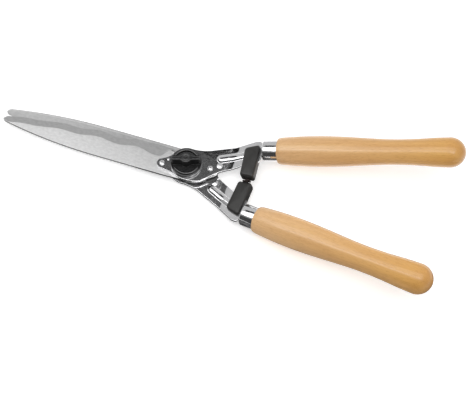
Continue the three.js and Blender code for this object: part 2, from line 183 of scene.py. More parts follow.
class Look:
    """A material, or the world, with short ways to build the nodes that feed its shader."""

    def __init__(self, owner, shader="Principled BSDF"):
        owner.use_nodes = True
        self.owner = owner
        self.nodes = owner.node_tree.nodes
        self.links = owner.node_tree.links
        self.inputs = self.nodes[shader].inputs

    def set(self, name, value):
        self.inputs[name].default_value = value

    def feed(self, name, output):
        self.links.new(output, self.inputs[name])

    def add(self, kind, values=None, sources=None):
        """A new node with these input values and these links to its inputs."""
        node = self.nodes.new(kind)
        for name, value in (values or {}).items():
            node.inputs[name].default_value = value
        for name, output in (sources or {}).items():
            self.links.new(output, node.inputs[name])
        return node

    def noise(self, scale, detail=3.0, roughness=0.5, vector=None):
        """Noise over the object's own coordinates, or over another vector, stretched by a scale."""
        if vector is None:
            vector = self.add("ShaderNodeTexCoord").outputs["Object"]
        mapping = self.add("ShaderNodeMapping", {"Scale": scale}, {"Vector": vector})
        values = {"Scale": 1.0, "Detail": detail, "Roughness": roughness}
        texture = self.add("ShaderNodeTexNoise", values, {"Vector": mapping.outputs["Vector"]})
        return texture.outputs["Fac"]

    def ramp(self, factor, stops):
        node = self.add("ShaderNodeValToRGB", None, {"Fac": factor})
        elements = node.color_ramp.elements
        while len(elements) < len(stops):
            elements.new(0.5)
        for element, (place, colour) in zip(elements, stops):
            element.position = place
            element.color = (*colour, 1.0)
        return node.outputs["Color"]

    def map_range(self, value, low, high, start=0.0, end=1.0):
        values = {"From Min": start, "From Max": end, "To Min": low, "To Max": high}
        return self.add("ShaderNodeMapRange", values, {"Value": value}).outputs["Result"]

    def bump(self, height, strength, distance):
        values = {"Strength": strength, "Distance": distance}
        self.feed("Normal", self.add("ShaderNodeBump", values, {"Height": height}).outputs["Normal"])


def new_look(name):
    return Look(bpy.data.materials.new(name))


def brushed_steel(name, colour, low, high, along, strength=0.12):
    """Steel with fine scratches that run along one axis of the piece: along is the coordinate scale."""
    look = new_look(name)
    look.set("Metallic", 1.0)
    scratches = look.noise(along, 4.0, 0.6)
    clouds = look.noise((240, 420, 240))
    look.feed("Base Color", look.ramp(clouds, [(0.3, [c * 0.86 for c in colour]), (0.7, colour)]))
    look.feed("Roughness", look.map_range(scratches, low, high))
    look.bump(scratches, strength, 0.00006)
    return look.owner


def chrome_plate():
    look = new_look("chrome_plate")
    look.set("Metallic", 1.0)
    waves = look.noise((120, 120, 120), 3.0, 0.55)
    smears = look.noise((260, 260, 260), 4.0, 0.6)
    look.feed("Base Color", look.ramp(smears, [(0.35, (0.74, 0.74, 0.75)), (0.65, (0.82, 0.82, 0.83))]))
    look.feed("Roughness", look.map_range(smears, 0.03, 0.15))
    look.bump(waves, 0.5, 0.0003)
    return look.owner


def turned_brass():
    look = new_look("turned_brass")
    look.set("Metallic", 1.0)
    rings = look.noise((40, 40, 2500))
    look.feed("Base Color", look.ramp(rings, [(0.3, (0.58, 0.42, 0.17)), (0.7, (0.74, 0.56, 0.27))]))
    look.feed("Roughness", look.map_range(rings, 0.2, 0.36))
    return look.owner


def moulded(name, dark, light, low, high, grain, strength, specular=0.5):
    """Moulded rubber or plastic: faint mottling and a fine grain in the surface."""
    look = new_look(name)
    look.set("Specular IOR Level", specular)
    mottle = look.noise((90, 90, 90))
    fine = look.noise((grain, grain, grain), 2.0)
    look.feed("Base Color", look.ramp(mottle, [(0.3, dark), (0.7, light)]))
    look.feed("Roughness", look.map_range(mottle, low, high))
    look.bump(fine, strength, 0.0001)
    return look.owner


def lacquered_beech(name, shift):
    """Light beech along the turned axis: soft growth bands, fine flecks and pores under clear lacquer, and
    a tone that warms towards the round end, with painted shade at the end.
    """
    look = new_look(name)
    attribute = look.add("ShaderNodeAttribute")
    attribute.attribute_name = "own"
    own = attribute.outputs["Vector"]
    moved = look.add("ShaderNodeVectorMath", {1: shift}, {0: own}).outputs["Vector"]
    axes = look.add("ShaderNodeSeparateXYZ", None, {"Vector": own})
    along = look.map_range(axes.outputs["Z"], 0, 1, 0, GRIP_END * MM)

    bands = look.noise((70, 110, 5), 3.0, 0.55, moved)
    colour = look.ramp(bands, [(0.30, (0.78, 0.455, 0.195)), (0.50, (0.873, 0.537, 0.242)),
                               (0.72, (0.944, 0.608, 0.289))])
    flecks = look.noise((1900, 1900, 150), 2.0, 0.5, moved)
    fleck_colour = look.ramp(flecks, [(0.32, (0.80, 0.74, 0.66)), (0.46, (1, 1, 1))])
    fibres = look.noise((900, 900, 28), 4.0, 0.6, moved)
    fibre_colour = look.ramp(fibres, [(0.30, (0.93, 0.90, 0.86)), (0.65, (1, 1, 1))])
    # A tone that warms along the handle; its darkest stop, at the round end, is painted shade.
    warmth_and_end_shade = look.ramp(along, [(0.1, (0.91, 0.92, 1.0)), (0.9, (0.83, 0.73, 0.46)),
                                 (1.0, (0.74, 0.60, 0.34))])
    for layer, strength in ((fleck_colour, 0.75), (fibre_colour, 0.75), (warmth_and_end_shade, 1.0)):
        mix = look.add("ShaderNodeMix")
        mix.data_type = "RGBA"
        mix.blend_type = "MULTIPLY"
        mix.inputs["Factor"].default_value = strength
        look.links.new(colour, mix.inputs["A"])
        look.links.new(layer, mix.inputs["B"])
        colour = mix.outputs["Result"]
    look.feed("Base Color", colour)
    look.feed("Roughness", look.map_range(fibres, 0.42, 0.55))
    look.set("Specular IOR Level", 0.3)
    look.set("Coat Weight", 0.8)
    look.set("Coat Roughness", 0.09)
    look.bump(fibres, 0.16, 0.0001)
    return look.owner


BLADE_STEEL = brushed_steel("blade_steel", (0.79, 0.79, 0.79), 0.30, 0.42, (18, 900, 900))
BEVEL_STEEL = brushed_steel("bevel_steel", (0.62, 0.62, 0.62), 0.24, 0.40, (700, 40, 700), 0.2)
# Nearly black steel on the spine's side, the bevel's run-out and the inner face past the heel's start.
BLACK_STEEL = brushed_steel("black_steel", (0.10, 0.10, 0.10), 0.30, 0.45, (200, 200, 200))
FASTENER = brushed_steel("fastener_steel", (0.80, 0.80, 0.81), 0.16, 0.30, (300, 300, 300))
CHROME = chrome_plate()
BRASS = turned_brass()
RUBBER = moulded("buffer_rubber", (0.022, 0.021, 0.020), (0.031, 0.030, 0.0285), 0.34, 0.44, 2200, 0.25)
PAD_RUBBER = moulded("pad_rubber", (0.022, 0.013, 0.012), (0.032, 0.019, 0.017), 0.5, 0.65, 2200, 0.3)
PLASTIC = moulded("knob_plastic", (0.0045, 0.0045, 0.005), (0.007, 0.007, 0.0075),
                  0.18, 0.27, 3000, 0.12, specular=1.0)
# The knob's flanks: matt, with a darker colour that is painted shade in the recesses.
MATT_SHADED_PLASTIC = moulded("knob_plastic_matt_painted_shade", (0.002, 0.002, 0.0022), (0.0035, 0.0035, 0.0038),
                        0.55, 0.7, 3000, 0.12)


# ---------- outlines and plates (millimetres, about the pivot) ----------

class Outline:
    """An outline sampled every step along lines, arcs and quadratic curves; side mirrors it in Y."""

    def __init__(self, side=1, step=0.8):
        self.points = []
        self.side = side
        self.step = step

    def _add(self, point):
        if not self.points or (self.points[-1] - point).length > 1e-3:
            self.points.append(point)

    def line(self, x, y):
        end = Vector((x, y))
        if self.points:
            start = self.points[-1]
            count = max(1, round((end - start).length / self.step))
            for i in range(1, count):
                self._add(start.lerp(end, i / count))
        self._add(end)

    def curve(self, cx, cy, x, y):
        start, control, end = self.points[-1], Vector((cx, cy)), Vector((x, y))
        count = max(2, round(((control - start).length + (end - control).length) / self.step))
        for i in range(1, count + 1):
            self._add(quadratic(start, control, end, i / count))

    def arc(self, x, y, radius, start, end):
        """An arc about (x, y) between two angles in degrees, after a line to its start."""
        count = max(3, round(abs(math.radians(end - start)) * radius / self.step))
        for i in range(count + 1):
            turn = math.radians(start + (end - start) * i / count)
            self.line(x + radius * math.cos(turn), y + radius * math.sin(turn))

    def closed(self):
        """The points as an array, anticlockwise, each once."""
        points = np.array([(p.x, p.y * self.side) for p in self.points])
        if np.linalg.norm(points[0] - points[-1]) < self.step * 0.4:
            points = points[:-1]
        following = np.roll(points, -1, axis=0)
        area = np.sum(points[:, 0] * following[:, 1] - following[:, 0] * points[:, 1])
        return points if area > 0 else points[::-1]


def inward(points):
    """Unit normals that point into an anticlockwise outline."""
    along = np.roll(points, -1, axis=0) - np.roll(points, 1, axis=0)
    normals = np.stack([-along[:, 1], along[:, 0]], axis=1)
    return normals / np.linalg.norm(normals, axis=1)[:, None]


def clear_of(points, loops, margin):
    """The points that are at least margin from every corner of the loops."""
    distance = np.full(len(points), 1e9)
    for corner in np.vstack(loops):
        distance = np.minimum(distance, np.hypot(*(points - corner).T))
    return points[distance > margin]


def inside_grid(outline, spacing, margin):
    """Grid points inside an outline, at least margin from its corners."""
    low, high = outline.min(0), outline.max(0)
    xs = np.arange(low[0], high[0], spacing)
    ys = np.arange(low[1], high[1], spacing)
    gx, gy = np.meshgrid(xs, ys)
    points = np.stack([gx.ravel(), gy.ravel()], axis=1)
    inside = np.zeros(len(points), bool)
    for a, b in zip(outline, np.roll(outline, -1, axis=0)):
        crosses = (a[1] > points[:, 1]) != (b[1] > points[:, 1])
        rise = b[1] - a[1] if abs(b[1] - a[1]) > 1e-12 else 1e-12
        inside ^= crosses & (points[:, 0] < (b[0] - a[0]) * (points[:, 1] - a[1]) / rise + a[0])
    return clear_of(points[inside], [outline], margin)


def closed_edges(loops):
    """The edges of closed loops whose points are numbered one loop after another."""
    edges = []
    first = 0
    for loop in loops:
        count = len(loop)
        edges += [(first + i, first + (i + 1) % count) for i in range(count)]
        first += count
    return edges


EDGE_FLAT = 0.15  # a narrow ring that keeps the rounded edge's shading off the flats


def pressed_plate(outline, top, bottom, edge_radius, spacing, contours):
    """A plate between two heights over (x, y), with rounded edges and its mesh laid along contours."""
    normals = inward(outline)
    turns = np.radians([0, 18, 36, 54, 72, 90])
    offsets = np.append(edge_radius * (1 - np.cos(turns)), edge_radius + EDGE_FLAT)
    drops = np.append(edge_radius * (1 - np.sin(turns)), 0.0)
    inner = outline + normals * offsets[-1]
    loops = [inner] + contours
    fill = clear_of(inside_grid(inner, spacing, spacing * 0.45), contours, spacing * 0.6)
    flat = [Vector(p) for p in np.vstack(loops + [fill])]
    cdt = geometry.delaunay_2d_cdt(flat, closed_edges(loops), [], 1, 1e-6)
    cap = np.array([(p.x, p.y) for p in cdt[0]])

    def face_points(height, sign):
        """The points of one side: the rings of its rounded edge, then the mesh of its face."""
        points = []
        for offset, drop in zip(offsets, drops):
            ring = outline + normals * offset
            points.append(np.column_stack([ring, height(*ring.T) + sign * drop]))
        return np.vstack(points + [np.column_stack([cap, height(*cap.T)])])

    upper, lower = face_points(top, -1), face_points(bottom, 1)
    count, rings, under = len(outline), len(offsets), len(upper)
    edge = count * rings
    faces = quads_between(rings, count)
    faces += [tuple(edge + k for k in face) for face in cdt[2]]
    faces += [(a, d, c, b) for a, b, c, d in quads_between(rings, count, under)]
    for i in range(count):
        j = (i + 1) % count
        faces.append((i, under + i, under + j, j))
    faces += [tuple(under + edge + k for k in reversed(face)) for face in cdt[2]]
    return np.vstack([upper, lower]), faces


def to_frame(vertices):
    """Millimetres about the pivot to metres in the frame."""
    return np.asarray(vertices) * MM + np.array([0, 0, PLANE])


# ---------- blades ----------

BLADE_BASE = 0.15
BLADE_THICK = 3.0
EDGE_THICK = 0.45
EDGE_HALF = 13.4
SPINE_HALF = 20.6
SPINE_ROUND = 0.35
BEVEL_WIDTH = 9.0
EDGE_CHAMFER = 0.12  # along the cutting edge, on the inner face
BEVEL_REST = 0.6  # width and depth of the bevel past its ground part
HOLLOW = 0.10  # depth of the hollow ground into the inner face
GROUND_END = -24  # x where the ground bevel ends
GROUND_FADE = 10  # length over which it runs out
HEEL_START = 6  # x past which the inner face is black
WAVE_CREST = -65.5  # x of one crest of the wavy edge
WAVE_PITCH = 49.5
WAVE_HEIGHT = 2
WAVE_GROWTH = 0.01125  # growth of the waves for each millimetre towards the pivot
TIP_X = -233.9
TIP_ROUND = 5.0
NECK_X = -26  # where the long blade meets the boss round the pivot
NECK_END = 12  # where the spine's side leaves the boss
BOSS_LEFT = -12.7
BOSS_RADIUS = 18.3
HEEL_CENTRE = (30.1, 2.6)
HEEL_RADIUS = 9.6
HEEL_CORNER = 36.5  # x where the heel's slanted side meets its round end
SPINE_LAST = 8  # a section's last point on the spine's side
BEVEL_FIRST = 17  # a section's first and last points on the bevel
BEVEL_LAST = 25


def spine_y(x):
    taper = max(0.0, (-110 - x) / 120)
    return -SPINE_HALF + 11.1 * taper * taper


def edge_y(x):
    run = max(0.0, (-50 - x) / 174)
    from_crest = x - WAVE_CREST
    wave = max(0.0, WAVE_HEIGHT + from_crest * WAVE_GROWTH)
    return EDGE_HALF * (1 - run ** 2.5) + wave * math.cos(2 * math.pi * from_crest / WAVE_PITCH)


def along_line(x, x0, y0, x1, y1):
    """The y at x on the line through two points."""
    return y0 + (y1 - y0) * (x - x0) / (x1 - x0)


def heel_arc(x):
    """How far the heel's round end reaches to either side at x."""
    return math.sqrt(max(0.0, HEEL_RADIUS ** 2 - (x - HEEL_CENTRE[0]) ** 2))


def blade_lower(x):
    """The spine's side of the blade's outline."""
    if x < NECK_X:
        return spine_y(x)
    if x < NECK_END:
        return along_line(x, NECK_X, -SPINE_HALF, NECK_END, -19.6)
    if x < 24.6:
        t = (x - NECK_END) / 12.6
        return -19.6 * (1 - t) ** 2 - 2 * 19.2 * t * (1 - t) - 14.4 * t * t
    if x < HEEL_CORNER:
        return along_line(x, 24.6, -14.4, HEEL_CORNER, -4.5)
    return HEEL_CENTRE[1] - heel_arc(x)


def blade_upper(x):
    """The cutting side of the blade's outline."""
    if x < NECK_X:
        return edge_y(x)
    if x < BOSS_LEFT:
        boss_start = math.sqrt(BOSS_RADIUS ** 2 - BOSS_LEFT ** 2)
        return along_line(x, NECK_X, edge_y(NECK_X), BOSS_LEFT, boss_start)
    if x < 11.3:
        return math.sqrt(BOSS_RADIUS ** 2 - x * x)
    if x < 34.6:
        return along_line(x, 11.3, 14.4, 34.6, 11.1)
    return HEEL_CENTRE[1] + heel_arc(x)


def blade_section(x):
    """The closed section at x as (y, z) points: spine, outer face, bevel, cutting edge, inner face."""
    lower, upper = blade_lower(x), blade_upper(x)
    past = max(0.0, (TIP_X + TIP_ROUND - x) / TIP_ROUND)
    width = math.sqrt(max(0.0, 1 - past * past))
    middle = (lower + upper) / 2
    lower, upper = middle + (lower - middle) * width, middle + (upper - middle) * width
    across = upper - lower
    ground = 1 - float(smoothstep(GROUND_END - GROUND_FADE, GROUND_END, x))
    bevel = min(0.9 * across, BEVEL_REST + (BEVEL_WIDTH - BEVEL_REST) * ground)
    edge_height = EDGE_THICK + (BLADE_THICK - BEVEL_REST - EDGE_THICK) * (1 - ground)
    bevel_line = upper - bevel
    r = min(SPINE_ROUND, 0.05 * across)
    top = BLADE_BASE + BLADE_THICK
    points = []
    for turn in (0, 30, 60, 90):
        a = math.radians(turn)
        points.append((lower + r * (1 - math.sin(a)), BLADE_BASE + r * (1 - math.cos(a))))
    for turn in (0, 22, 45, 68, 90):
        a = math.radians(turn)
        points.append((lower + r * (1 - math.cos(a)), top - r * (1 - math.sin(a))))
    for t in (0.015, 0.15, 0.3, 0.45, 0.6, 0.75, 0.88, 0.96):
        points.append((lower + r + (bevel_line - lower - r) * t, top))
    points.append((bevel_line - 0.02 * across, top - 0.005))
    slope = (top - BLADE_BASE - edge_height) / bevel
    for t in (0.02, 0.12, 0.3, 0.5, 0.7, 0.88, 1.0):
        points.append((bevel_line + bevel * t, top - slope * bevel * t))
    points.append((upper, BLADE_BASE + EDGE_CHAMFER))
    points.append((upper - EDGE_CHAMFER, BLADE_BASE))
    hollow = HOLLOW * ground
    for t in (0.9, 0.7, 0.5, 0.3, 0.1):
        points.append((lower + (upper - lower) * t, BLADE_BASE + hollow * math.sin(math.pi * t)))
    return points


def blade_stations():
    """The x of each section, close together at the rounded tip and at the heel's round end."""
    tip = [TIP_X + TIP_ROUND * (1 - math.cos(math.radians(a))) for a in range(6, 90, 7)]
    body = list(np.linspace(TIP_X + TIP_ROUND, HEEL_CORNER, 330))
    end_x = HEEL_CENTRE[0] + HEEL_RADIUS
    heel = [end_x - (end_x - HEEL_CORNER) * (1 - math.sin(math.radians(a))) for a in range(8, 90, 8)]
    return tip + body + heel


def make_blade(lever, side):
    """A blade: brushed outer face, darker bevel and inner face, and black steel on the spine's side."""
    stations = blade_stations()
    sections = [blade_section(x) for x in stations]
    count = len(sections[0])
    vertices = np.array([(x, y, z) for x, section in zip(stations, sections) for y, z in section])
    vertices[:, 1] *= side
    vertices[:, 2] *= side
    faces = closed_tube(len(stations), count)
    piece = make_piece(f"{lever}_blade_ground", to_frame(vertices), faces, BLADE_STEEL)
    piece.data.materials.append(BEVEL_STEEL)
    piece.data.materials.append(BLACK_STEEL)
    for polygon in piece.data.polygons:
        if len(polygon.vertices) != 4:
            continue
        slots = {v % count for v in polygon.vertices}
        x = stations[min(polygon.vertices) // count]
        if min(slots) >= BEVEL_FIRST and max(slots) <= BEVEL_LAST:
            polygon.material_index = 2 if x > GROUND_END else 1
        elif max(slots) <= SPINE_LAST or (min(slots) >= BEVEL_LAST and x > HEEL_START):
            polygon.material_index = 2
        elif min(slots) > BEVEL_LAST:
            polygon.material_index = 1
    sharpen(piece, 24)
    stand_for(piece, f"{lever}_lever", f"{lever}_blade")


# ---------- arms ----------

ARM_BASE = 3.45
ARM_THICK = 3.0
ARM_MIDDLE = ARM_BASE + ARM_THICK / 2
FOLD_X = 52.0
FOLD_HALF = 4.0
CRANK = math.radians(14)
SPLAY = math.radians(10)
HANDLE_START = (84.0, 40.7)
TANG_HALF = 6.0
TANG_SHOWN = 12.0
RIB_START = np.array([38.0, 18.2])
RIB_END = np.array([70.0, 33.6])
RIB_HEIGHT = 2.2
RIB_HALF = 5.2
RIB_UNDER = 1.2  # how much narrower the rib is on the underside
DOME_AT = (38.6, 9.4)
DOME_RADIUS = 3.7
DOME_HEIGHT = 0.9
PRESS_RING = 0.07  # depth that the rivet heads were pressed in
PLATE_ROUND = 0.6
PLATE_MESH = 0.6
RIVETS = {  # place, shank radius, head radius and head height
    "nose_rivet": ((-28.2, -7.5), 2.4, 3.3, 1.1),
    "locating_pin": ((-22.4, -0.8), 1.1, 1.6, 0.5),
    "heel_rivet": ((29.5, 2.6), 2.4, 3.1, 1.1),
}


def lift(x):
    """How far the arm is bent up at x."""
    slope = math.tan(CRANK)
    past = np.asarray(x, float) - (FOLD_X - FOLD_HALF)
    bend = past * past * slope / (4 * FOLD_HALF)
    straight = (np.asarray(x, float) - FOLD_X) * slope
    return np.where(past <= 0, 0.0, np.where(past >= 2 * FOLD_HALF, straight, bend))


def tang_corner(along, across):
    """A point of the tang, along and across the handle's axis from the handle's start."""
    x = HANDLE_START[0] + along * math.cos(SPLAY) - across * math.sin(SPLAY)
    y = HANDLE_START[1] + along * math.sin(SPLAY) + across * math.cos(SPLAY)
    return x, y


def arm_outline(side):
    """The arm from its nose, along its outer side to the tang, past the buffer's tab and back."""
    o = Outline(side, 0.5)
    o.arc(*RIVETS["nose_rivet"][0], 6.6, 265, 132)
    o.curve(-23, 2.2, -18.9, 8.4)
    o.arc(0, 0, 21.4, 156, 84)
    o.curve(14, 21.6, 25, 26.4)
    o.curve(36, 31.6, 50, 37.8)
    o.line(72, 51)
    o.arc(76.4, 47.8, 4, 118, 18)
    o.line(*tang_corner(-2.4, TANG_HALF))
    o.line(*tang_corner(TANG_SHOWN, TANG_HALF))
    o.line(*tang_corner(TANG_SHOWN, -TANG_HALF))
    o.line(*tang_corner(-0.8, -TANG_HALF))
    o.line(84, 27)
    o.line(80.5, 20)
    o.line(79.5, 8)
    o.line(71.5, 8)
    o.line(70.5, 18)
    o.line(64, 15.2)
    o.curve(57, 10.6, 50.2, 6.8)
    o.curve(41, 2.2, 34.3, -5.1)
    o.line(24.6, -14.4)
    o.curve(20.6, -18.6, 12, -19.6)
    o.curve(-2, -21.8, -15, -15.8)
    o.line(-28.8, -14)
    return o.closed()


def rib_distance(x, y, side):
    """Distance from the middle line of the pressed rib."""
    start = RIB_START * (1, side)
    run = RIB_END * (1, side) - start
    t = np.clip(((x - start[0]) * run[0] + (y - start[1]) * run[1]) / (run @ run), 0, 1)
    return np.hypot(x - start[0] - t * run[0], y - start[1] - t * run[1])


def around_line(start, end, radius, step):
    """A closed loop of points at one distance from a line or a point."""
    run = end - start
    heading = math.atan2(run[1], run[0])
    loop = []
    for centre, turn in ((end, heading - math.pi / 2), (start, heading + math.pi / 2)):
        count = max(6, round(math.pi * radius / step))
        for i in range(count + 1):
            a = turn + math.pi * i / count
            loop.append(centre + radius * np.array([math.cos(a), math.sin(a)]))
        along = max(1, round(np.linalg.norm(run) / step))
        other = start if centre is end else end
        offset = loop[-1] - centre
        loop += [centre + (other - centre) * i / along + offset for i in range(1, along)]
    return np.array(loop)


def arm_contours(side):
    """Mesh lines round the rib and the dome."""
    flip = np.array((1, side))
    radii = [*np.linspace(0.4, RIB_HALF, 12), RIB_HALF + 0.45, RIB_HALF + 0.9]
    contours = [around_line(RIB_START * flip, RIB_END * flip, radius, 0.7) for radius in radii]
    for radius in (0.9, 1.8, 2.7, DOME_RADIUS, DOME_RADIUS + 0.5):
        spot = np.array(DOME_AT) * flip
        contours.append(around_line(spot, spot, radius, 0.6)[:-1])
    return contours


def make_arm(lever, side):
    """A pressed arm with its crank, rib, dome and rings, chromed all over."""
    base = ARM_BASE if side > 0 else -ARM_BASE - ARM_THICK

    def raised(x, y, shrink):
        """The rib's rounded bead and the shallow dome beside its start."""
        across = np.clip(rib_distance(x, y, side) / (RIB_HALF - shrink), 0, 1)
        bead = (RIB_HEIGHT - shrink * 0.4) * (1 - across ** 3) ** 1.3
        out = np.clip(np.hypot(x - DOME_AT[0], y - DOME_AT[1] * side) / (DOME_RADIUS - shrink), 0, 1)
        return np.maximum(bead, DOME_HEIGHT * (1 - out ** 2) ** 2)

    def sinks(x, y):
        """Shallow ring that the rivet heads were pressed into."""
        total = np.zeros_like(x)
        for (rx, ry), _, head, _ in RIVETS.values():
            d = np.hypot(x - rx, y - ry * side)
            total += PRESS_RING * (1 - smoothstep(head + 0.1, head + 1.0, d))
        return total

    def top(x, y):
        return base + ARM_THICK + lift(x) + raised(x, y, 0) - (sinks(x, y) if side > 0 else 0)

    def bottom(x, y):
        return base + lift(x) + raised(x, y, RIB_UNDER) + (sinks(x, y) if side < 0 else 0)

    outline, contours = arm_outline(side), arm_contours(side)
    vertices, faces = pressed_plate(outline, top, bottom, PLATE_ROUND, PLATE_MESH, contours)
    piece = make_piece(f"{lever}_arm_pressed", to_frame(vertices), faces, CHROME)
    sharpen(piece, 40)
    stand_for(piece, f"{lever}_lever", f"{lever}_arm")


# ---------- rivets and the bolt ----------

SHANK_START = 0.2  # height of a rivet's inner end
HEAD_SUNK = 0.2  # how far the heads are let into the arm
HEAD_SKIRT = 0.45  # the straight side of a head, under its crown
HEAD_LIFT = 0.3  # added to every head's height


def turned_piece(name, profile, base, segments, material, matrix=Matrix.Identity(4)):
    """A turned piece moved to its place; its own coordinates stay in an attribute for the wood grain."""
    vertices, faces = lathe([(radius * MM, z * MM + base) for radius, z in profile], segments)
    piece = make_piece(name, vertices, faces, material)
    sharpen(piece, 35)
    own = piece.data.attributes.new("own", "FLOAT_VECTOR", "POINT")
    own.data.foreach_set("vector", [value for vertex in piece.data.vertices for value in vertex.co])
    piece.data.transform(matrix)
    return piece


def make_rivets(lever, side):
    """The rivets and the locating pin of one arm, with domed heads on its outer face."""
    flip = Matrix.Rotation(0 if side > 0 else math.pi, 4, "X")
    seat = ARM_BASE + ARM_THICK - HEAD_SUNK
    for name, ((x, y), shank, head, height) in RIVETS.items():
        crown = ARM_BASE + ARM_THICK + HEAD_LIFT + height
        profile = [(0, SHANK_START), (shank, SHANK_START), (shank, seat), (head, seat)]
        profile.append((head, seat + HEAD_SKIRT))
        rise = crown - seat - HEAD_SKIRT
        for turn in (15, 30, 45, 60, 75):
            a = math.radians(turn)
            profile.append((head * math.cos(a), seat + HEAD_SKIRT + rise * math.sin(a)))
        profile.append((0, crown))
        place = Matrix.Translation((x * MM, y * side * MM, PLANE)) @ flip
        piece = turned_piece(f"{lever}_{name}_domed", profile, 0, 40, FASTENER, place)
        stand_for(piece, f"{lever}_lever", f"{lever}_{name}")


def make_bolt():
    """The pivot bolt: a head below, then its neck, shank and thread up into the knob."""
    outside, seat, top = -10.0, -6.75, 18.5
    head, neck, shank, thread = 11, 6.2, 4.9, 3.9
    profile = rounded([(0, outside), (head - 1.1, outside), (head, outside + 1.1), (head, seat)], 0.5)
    profile += [(neck, seat), (neck, -0.2), (shank, -0.2), (shank, 6.4), (thread, 6.6)]
    profile += [(thread, top - 0.7), (thread - 0.7, top), (0, top)]
    piece = turned_piece("pivot_bolt_turned", profile, PLANE, 72, FASTENER)
    stand_for(piece, "rear_lever", "pivot_bolt")


# ---------- handles and ferrules ----------

FERRULE_RADIUS = 12.95
FERRULE_LENGTH = 17.6
FERRULE_WALL = 0.9
PLUG_RADIUS = 11.6  # the wood inside the ferrule
PLUG_START = 1.4
SHOULDER = [(17.9, 13.6), (18.3, 14.6), (19.4, 15.4), (21.5, 15.95), (27, 16.6)]  # height, radius
GRIP = [(27, 16.6), (45, 17.7), (73, 18.2), (103, 17.2), (128, 15.75), (153, 14.8), (179, 15.3),
        (203, 16.8), (218.5, 17.35)]


def spline(points, count):
    """A smooth open curve through (height, radius) points, evenly sampled by height."""
    places = np.array([p[0] for p in points])
    radii = np.array([p[1] for p in points])
    slopes = np.gradient(radii, places)
    result = []
    for z in np.linspace(places[0], places[-1], count):
        i = min(len(places) - 2, int(np.searchsorted(places, z, side="right") - 1))
        run = places[i + 1] - places[i]
        t = (z - places[i]) / run
        h00, h10 = 2 * t ** 3 - 3 * t ** 2 + 1, t ** 3 - 2 * t ** 2 + t
        h01, h11 = -2 * t ** 3 + 3 * t ** 2, t ** 3 - t ** 2
        radius = h00 * radii[i] + h10 * run * slopes[i] + h01 * radii[i + 1] + h11 * run * slopes[i + 1]
        result.append((radius, z))
    return result


def handle_matrix(side):
    """The place of a handle: its start on the tang, with its own Z along its axis."""
    axis = Vector((1, math.tan(SPLAY) * side, math.tan(CRANK))).normalized()
    turn = Vector((0, 0, 1)).rotation_difference(axis).to_matrix().to_4x4()
    height = PLANE + (ARM_MIDDLE * side + float(lift(HANDLE_START[0]))) * MM
    return Matrix.Translation((HANDLE_START[0] * MM, HANDLE_START[1] * side * MM, height)) @ turn


def make_handle(lever, side):
    """A turned handle: its plug in the ferrule, a shoulder, the waisted grip and the round end."""
    profile = [(0, PLUG_START), (PLUG_RADIUS, PLUG_START), (PLUG_RADIUS, FERRULE_LENGTH), (13.2, 17.7)]
    profile += spline(SHOULDER, 14)
    profile += spline(GRIP, 110)[1:]
    cap_start, cap_radius = GRIP[-1]
    for i in range(1, 26):
        turn = math.radians(90 * i / 26)
        profile.append((cap_radius * math.cos(turn), cap_start + (GRIP_END - cap_start) * math.sin(turn)))
    profile.append((0, GRIP_END))
    wood = lacquered_beech(f"beech_{lever}", (0.31 * side, 0.17, 0.23 * side))
    piece = turned_piece(f"{lever}_handle_turned", profile, 0, 96, wood, handle_matrix(side))
    stand_for(piece, f"{lever}_lever", f"{lever}_handle")


def make_ferrule(lever, side):
    """A drawn cup with a rounded bottom and a slightly rolled rim."""
    radius, rim, floor = FERRULE_RADIUS, FERRULE_LENGTH, 1.2
    profile = rounded([(0, 0.05), (radius, 0.05), (radius, rim - 0.2)], 2.2, 8)
    profile += [(radius - 0.05, rim - 0.05), (radius - 0.35, rim), (radius - 0.85, rim - 0.05)]
    profile += [(radius - FERRULE_WALL, floor), (0, floor)]
    piece = turned_piece(f"{lever}_ferrule_drawn", profile, 0, 96, CHROME, handle_matrix(side))
    stand_for(piece, f"{lever}_lever", f"{lever}_ferrule")


# ---------- buffers ----------

BUFFER_OUTLINE = [(15.3, 1.4), (32.9, 1.4), (31.1, 24), (29.9, 42.3), (26.5, 45.1), (13.1, 39.5),
                  (11.0, 36.7), (13.1, 22)]
BUFFER_DEPTH = 17.0
BUFFER_CORNER = 3.6
BUFFER_ROUND = 3.4
BUFFER_CROWN = 1.2
BUFFER_SEAM = 0.08
BUFFER_VOXEL = 0.45
BUFFER_RELAX = 20
PAD_X = (20.9, 27.3)
PAD_Y = (0.16, 1.8)
PAD_HALF = 3.2
PAD_ROUND = 0.5


def crank_matrix(side):
    """The place of the cranked part of an arm: x from the fold line, z off the plate's middle."""
    place = Matrix.Translation((FOLD_X * MM, 0, PLANE + ARM_MIDDLE * side * MM))
    return place @ Matrix.Rotation(-CRANK, 4, "Y")


def rounded_polygon(corners, radius, side, steps=7):
    """A closed outline with every corner rounded."""
    points = []
    count = len(corners)
    for i, corner in enumerate(corners):
        trio = (corners[i - 1], corner, corners[(i + 1) % count])
        before, here, after = (Vector((x, y * side)) for x, y in trio)
        points += round_corner(before, here, after, radius, steps, 0.48)
    outline = Outline()
    outline.points = points
    return outline.closed()


def resampled(points, step):
    """The same closed outline with points about a step apart."""
    result = []
    for a, b in zip(points, np.roll(points, -1, axis=0)):
        count = max(1, int(round(np.linalg.norm(b - a) / step)))
        for i in range(count):
            result.append(a + (b - a) * i / count)
    return np.array(result)


